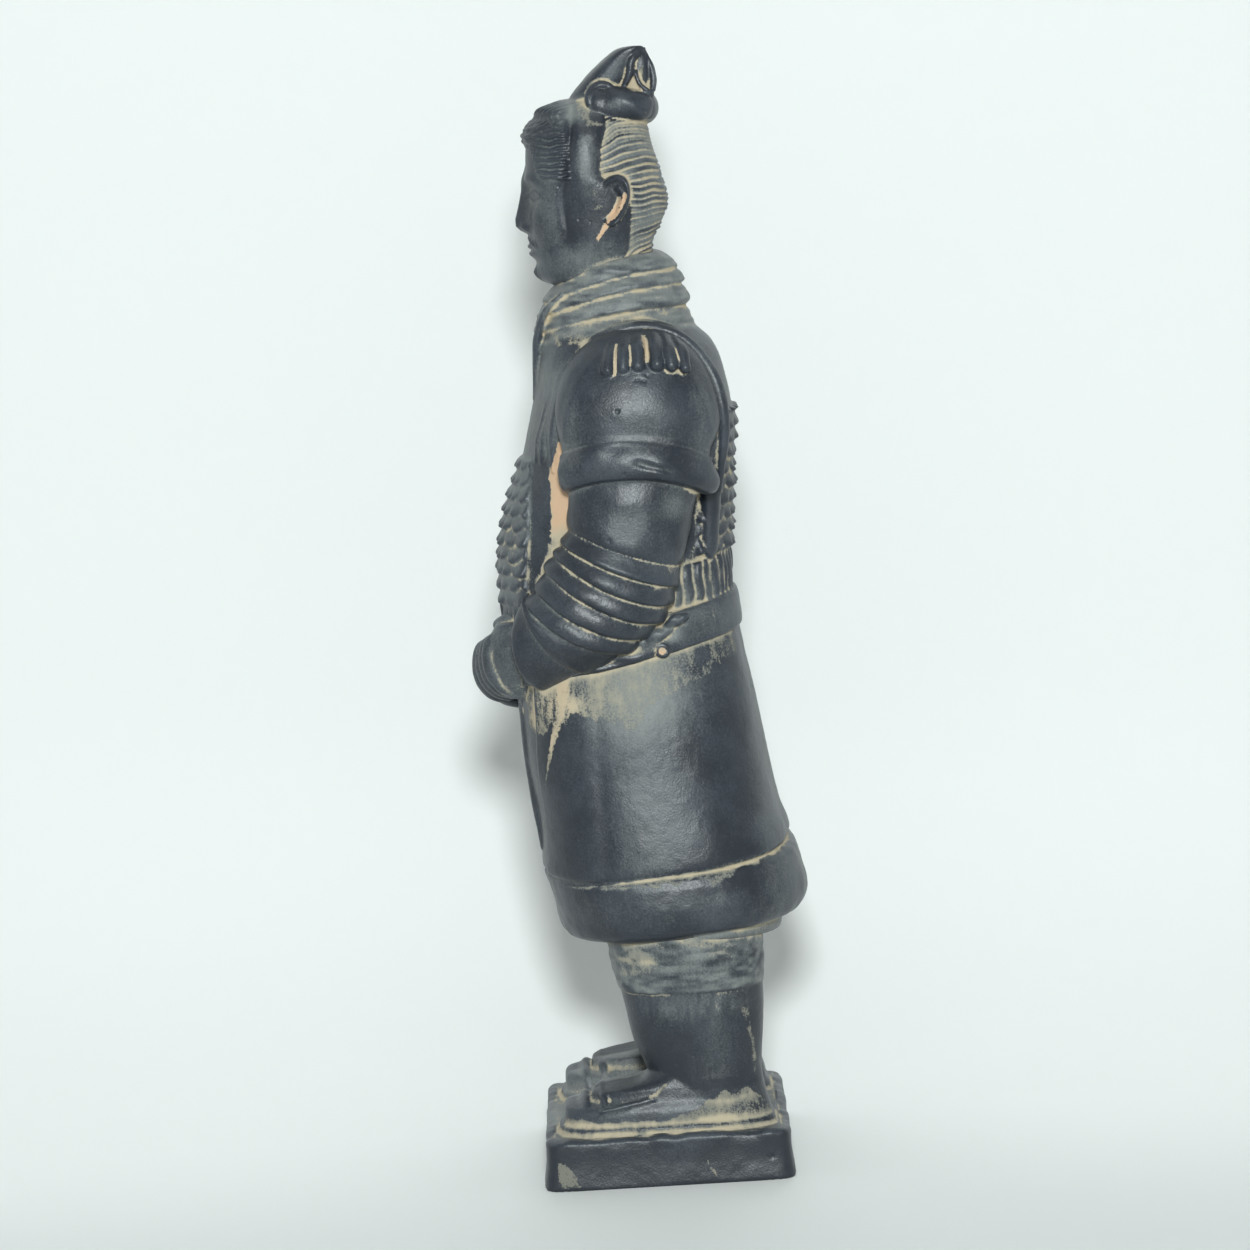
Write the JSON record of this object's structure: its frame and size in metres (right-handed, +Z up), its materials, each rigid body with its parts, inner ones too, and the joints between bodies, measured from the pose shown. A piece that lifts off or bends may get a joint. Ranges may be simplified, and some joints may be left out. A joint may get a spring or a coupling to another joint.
{
  "type": "terracotta warrior figurine",
  "caption": "Standing armoured officer in dark fired clay with pale slip in the folds, hands clasped in front, cast in one piece with its square base.",
  "frame": {"origin": "centre of the base's flat underside, where the figure stands", "axes": "+Z up, -Y the way the figure faces, +X to the figure's left"},
  "size_m": [0.0704, 0.0719, 0.25],
  "materials": {
    "fired_clay": "satin"
  },
  "bodies": {
    "root": {"warrior_statue": "fired_clay"}
  },
  "joints": []
}
